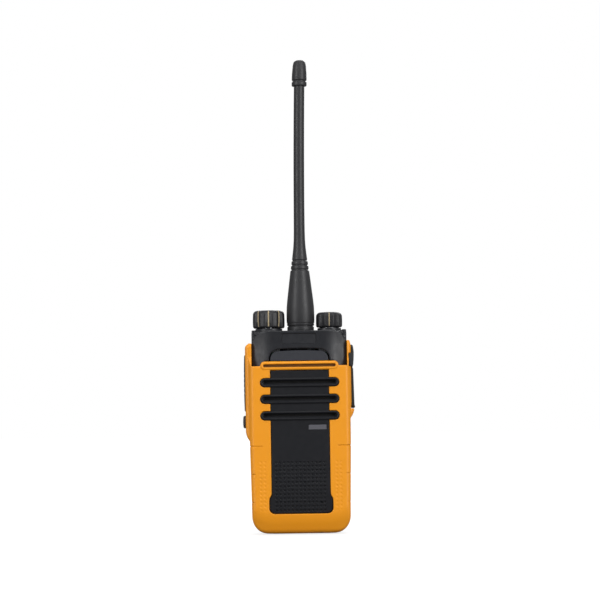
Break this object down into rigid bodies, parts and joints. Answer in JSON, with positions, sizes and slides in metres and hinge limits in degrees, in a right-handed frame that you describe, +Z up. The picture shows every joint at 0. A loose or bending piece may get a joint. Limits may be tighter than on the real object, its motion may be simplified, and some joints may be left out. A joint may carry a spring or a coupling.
{
  "type": "two way radio",
  "caption": "Handheld two way radio with whip antenna, two top knobs, slotted speaker panel, talk button, covered sockets, tilt-out battery and belt clip.",
  "frame": {"origin": "bottom centre of the radio, half way through its depth without the clip", "axes": "+Z up along the antenna, -Y the front with the speaker, +X to the right seen from the front"},
  "size_m": [0.0541, 0.0365, 0.2328],
  "materials": {
    "orange_plastic": "fine moulded texture",
    "black_plastic": "fine moulded texture",
    "charcoal_plastic": "satin",
    "plate_grey": "satin print",
    "antenna_rubber": "matt",
    "soft_rubber": "matt",
    "seal_rubber": "smooth silicone",
    "cloth": "woven",
    "cone_paper": "coated paper",
    "cast_alloy": "die cast",
    "steel": "plated",
    "plated_brass": "gold plated",
    "copper": "enamelled copper wire",
    "cream_paint": "printed line",
    "clear_lens": "clear moulding",
    "circuit_board": "solder mask",
    "moulded_black": "satin",
    "flex_film": "polyimide film",
    "cell_can": "printed sleeve"
  },
  "bodies": {
    "radio_body": {"front_case": "orange_plastic", "front_panel": "black_plastic", "nameplate": "plate_grey", "model_plate": "plate_grey", "speaker_cloth": "cloth", "speaker_frame": "steel", "speaker_cone": "cone_paper", "speaker_magnet": "steel", "microphone": "steel", "microphone_boot": "soft_rubber", "top_cover": "black_plastic", "led_lens": "clear_lens", "knob_board": "circuit_board", "channel_switch": "steel", "volume_switch": "steel", "panel_nuts": "steel", "antenna_socket": "plated_brass", "chassis": "cast_alloy", "main_seal": "seal_rubber", "main_board": "circuit_board", "shield_cans": "steel", "board_chips": "moulded_black", "chassis_screws": "steel", "flex_cable": "flex_film", "battery_terminals": "moulded_black", "terminal_pins": "plated_brass", "side_boot": "soft_rubber", "side_key_board": "circuit_board", "jack_panel": "black_plastic", "mic_jack": "moulded_black", "ear_jack": "moulded_black", "flap_anchor": "soft_rubber", "anchor_screw": "steel"},
    "channel_control": {"channel_knob": "black_plastic", "channel_knob_lines": "cream_paint", "channel_shaft": "steel"},
    "volume_control": {"volume_knob": "black_plastic", "volume_knob_line": "cream_paint", "volume_shaft": "steel"},
    "talk_key": {"ptt_button": "charcoal_plastic"},
    "option_key": {"side_key": "charcoal_plastic"},
    "socket_cover": {"accessory_flap": "soft_rubber"},
    "battery_pack": {"battery_case": "black_plastic", "battery_plate": "black_plastic", "battery_cells": "cell_can", "battery_board": "circuit_board", "battery_contacts": "plated_brass", "latch_springs": "steel", "clip_base": "black_plastic", "clip_screws": "steel", "clip_pin": "steel", "clip_spring": "steel"},
    "latch_bar": {"battery_latch": "charcoal_plastic"},
    "clip_arm": {"belt_clip": "black_plastic"},
    "antenna_seat": {"antenna_seal": "soft_rubber"},
    "antenna_rod": {"antenna_whip": "antenna_rubber", "antenna_ferrule": "plated_brass", "antenna_core": "steel", "loading_coil": "copper", "antenna_tip": "antenna_rubber"}
  },
  "joints": [
    {"name": "channel_knob_turn", "type": "hinge", "parent": "radio_body", "child": "channel_control", "pos_m": [-0.0147, 0.0005, 0.1], "axis": [0, 0, -1], "range_deg": [0, 337.5]},
    {"name": "volume_knob_turn", "type": "hinge", "parent": "radio_body", "child": "volume_control", "pos_m": [0.0149, 0.0005, 0.1], "axis": [0, 0, -1], "range_deg": [0, 280]},
    {"name": "ptt_press", "type": "slide", "parent": "radio_body", "child": "talk_key", "axis": [1, 0, 0], "range_m": [0, 0.0008], "stiffness_N_per_m": 300, "springref_m": -0.0006},
    {"name": "side_key_press", "type": "slide", "parent": "radio_body", "child": "option_key", "axis": [1, 0, 0], "range_m": [0, 0.0008], "stiffness_N_per_m": 60, "springref_m": -0.0006},
    {"name": "flap_open", "type": "hinge", "parent": "radio_body", "child": "socket_cover", "pos_m": [0.0255, -0.0046, 0.08], "axis": [0, -1, 0], "range_deg": [0, 110], "stiffness_Nm_per_rad": 0.001, "springref_deg": -28.65},
    {"name": "battery_open", "type": "hinge", "parent": "radio_body", "child": "battery_pack", "pos_m": [0, 0.0016, 0.0024], "axis": [-1, 0, 0], "range_deg": [0, 25]},
    {"name": "latch_slide", "type": "slide", "parent": "battery_pack", "child": "latch_bar", "axis": [0, 0, -1], "range_m": [0, 0.002], "stiffness_N_per_m": 200, "springref_m": -0.001, "deforming": ["latch_springs"]},
    {"name": "clip_open", "type": "hinge", "parent": "battery_pack", "child": "clip_arm", "pos_m": [0, 0.0179, 0.071], "axis": [1, 0, 0], "range_deg": [0, 12], "stiffness_Nm_per_rad": 0.1, "springref_deg": -11.46},
    {"name": "antenna_lift", "type": "slide", "parent": "radio_body", "child": "antenna_seat", "axis": [0, 0, 1], "range_m": [0, 0.00494]},
    {"name": "antenna_turn", "type": "hinge", "parent": "antenna_seat", "child": "antenna_rod", "pos_m": [0.0009, 0.0005, 0.1], "axis": [0, 0, 1], "range_deg": [0, 2522]}
  ],
  "couplings": [
    {"joint": "antenna_turn", "follows": "antenna_lift", "rad_per_m": 8904.7}
  ]
}
